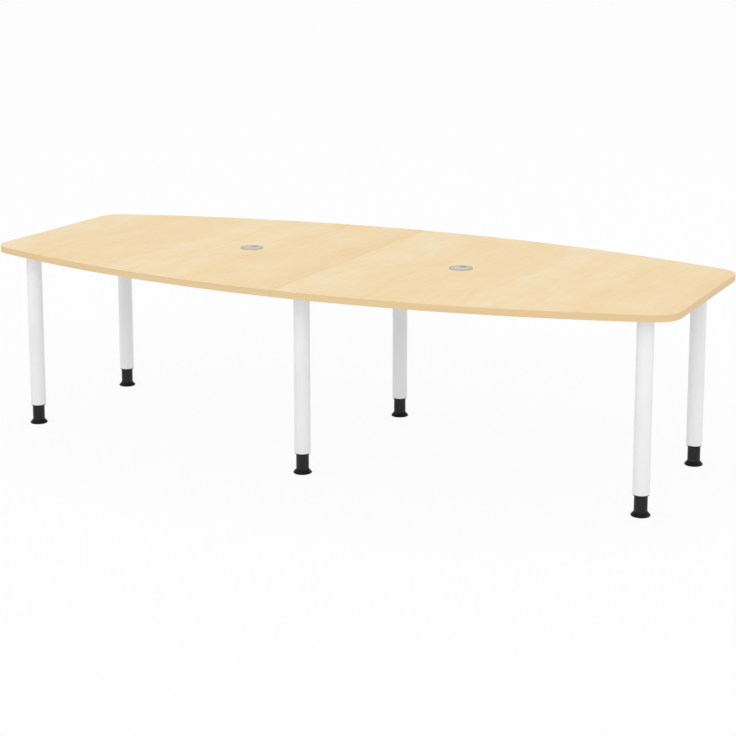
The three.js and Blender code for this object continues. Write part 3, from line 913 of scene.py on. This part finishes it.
def make_seam(zinc, wood):
    """The plates across the seam with their screws, and the dowels' finish."""
    low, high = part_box(f"joint_plate_{SEAM_PLACES[0]}")
    size = (high.x - low.x, high.y - low.y)
    form, screw_places = drilled_plate(
        size, JOINT_PLATE_CORNER, JOINT_PLATE_HOLE, JOINT_PLATE_HOLE_INSET, low.z, high.z
    )
    plate = to_mesh(form, "joint_plate", zinc)
    screw = wood_screw(JOINT_SCREW_HEAD, high.z - low.z + SCREW_DEPTH, zinc)
    screws = to_mesh(copies(screw, [(x, y, low.z) for x, y in screw_places]), "joint_screws", zinc)
    for name in SEAM_PLACES:
        low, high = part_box(f"joint_plate_{name}")
        place = ((low.x + high.x) / 2, (low.y + high.y) / 2, 0)
        nodes = [f"joint_plate_{name}"]
        show(f"joint_plate_{name}.fine", plate, "table", nodes, place)
        show(f"joint_screws_{name}", screws, "table", (), place)
    for name in DOWELS:
        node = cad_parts[f"dowel_{name}"]
        node.data.materials.clear()
        node.data.materials.append(wood)


def seen_directly(tree):
    """1 for rays from the camera, or by way of a reflection or glass, and 0 for light on surfaces."""
    path = tree.nodes.new("ShaderNodeLightPath").outputs
    total = path["Is Camera Ray"]
    for name in ("Is Glossy Ray", "Is Transmission Ray"):
        add = tree.nodes.new("ShaderNodeMath")
        add.operation = "ADD"
        add.use_clamp = True
        tree.links.new(total, add.inputs[0])
        tree.links.new(path[name], add.inputs[1])
        total = add.outputs[0]
    return total


def make_floor():
    """A pale floor that keeps the table's shadow, clear enough to show feet turned out below it."""
    bm = bmesh.new()
    bmesh.ops.create_grid(bm, x_segments=1, y_segments=1, size=FLOOR_SIZE / 2)
    floor = bpy.data.objects.new("floor", to_mesh(bm, "floor"))
    bpy.context.scene.collection.objects.link(floor)
    material = bpy.data.materials.new("floor")
    material.use_nodes = True
    tree = material.node_tree
    tree.nodes.clear()
    diffuse = tree.nodes.new("ShaderNodeBsdfDiffuse")
    diffuse.inputs["Color"].default_value = (FLOOR_ALBEDO, FLOOR_ALBEDO, FLOOR_ALBEDO, 1)
    clear = tree.nodes.new("ShaderNodeBsdfTransparent")
    share = tree.nodes.new("ShaderNodeMath")
    share.operation = "MULTIPLY"
    share.inputs[1].default_value = FLOOR_CLEAR_SHARE
    tree.links.new(seen_directly(tree), share.inputs[0])
    mixed = tree.nodes.new("ShaderNodeMixShader")
    tree.links.new(share.outputs[0], mixed.inputs[0])
    tree.links.new(diffuse.outputs[0], mixed.inputs[1])
    tree.links.new(clear.outputs[0], mixed.inputs[2])
    output = tree.nodes.new("ShaderNodeOutputMaterial")
    tree.links.new(mixed.outputs[0], output.inputs["Surface"])
    floor.data.materials.append(material)


def make_light():
    """A soft dome that shows white behind the table, and a large lamp above its front."""
    world = bpy.data.worlds.new("studio")
    world.use_nodes = True
    tree = world.node_tree
    background = tree.nodes["Background"]
    background.inputs["Color"].default_value = WHITE
    level = tree.nodes.new("ShaderNodeMapRange")
    level.inputs["To Min"].default_value = DOME_LEVEL
    level.inputs["To Max"].default_value = WHITE_LEVEL
    tree.links.new(seen_directly(tree), level.inputs["Value"])
    tree.links.new(level.outputs[0], background.inputs["Strength"])
    bpy.context.scene.world = world
    lamp = bpy.data.lights.new("key", "AREA")
    lamp.size = KEY_SIZE
    lamp.energy = KEY_POWER
    key = bpy.data.objects.new("key", lamp)
    key.location = KEY_PLACE
    key.rotation_euler = (-Vector(KEY_PLACE)).to_track_quat("-Z", "Y").to_euler()
    bpy.context.scene.collection.objects.link(key)


def make_camera():
    """The photograph's viewpoint, with part of its lens shift."""
    lens = bpy.data.cameras.new("camera")
    lens.lens = CAMERA_LENS
    lens.sensor_width = CAMERA_SENSOR
    lens.shift_y = CAMERA_SHIFT
    lens.clip_end = FLOOR_SIZE
    camera = bpy.data.objects.new("camera", lens)
    camera.location = CAMERA_PLACE
    camera.rotation_euler = (math.pi / 2 - CAMERA_PITCH, 0, CAMERA_TURN)
    bpy.context.scene.collection.objects.link(camera)
    bpy.context.scene.camera = camera


def make_table():
    """Every piece of the table, with the finishes that they share."""
    face, under, edge = maple_face(), backing(), maple_edge()
    grey = moulded("outlet_grey", OUTLET_GREY, OUTLET_GREY_DIP)
    rim_grey = moulded("outlet_rim", OUTLET_RIM, OUTLET_RIM_DIP)
    sleeve_black = moulded("sleeve_black", BLACK_SLEEVE, BLACK_SLEEVE_DIP)
    # The flare's black is darker than its plastic alone, as painted shade near the floor; its scuffs are
    # wear
    base_black_and_shade = moulded("base_black_and_shade", BASE_BLACK_AND_SHADE, BASE_DIP_AND_SHADE, BASE_GLOSS, scuffed=True)
    zinc = zinc_steel()
    for side, turn in zip(SIDES, (math.pi, 0)):
        make_half(side, turn, face, under, edge)
        make_outlet(side, grey, rim_grey)
    make_legs(white_coat(), sleeve_black, base_black_and_shade, zinc)
    make_seam(zinc, beech())


make_camera()
make_light()
make_floor()
make_table()
bpy.context.scene.view_settings.view_transform = "Standard"
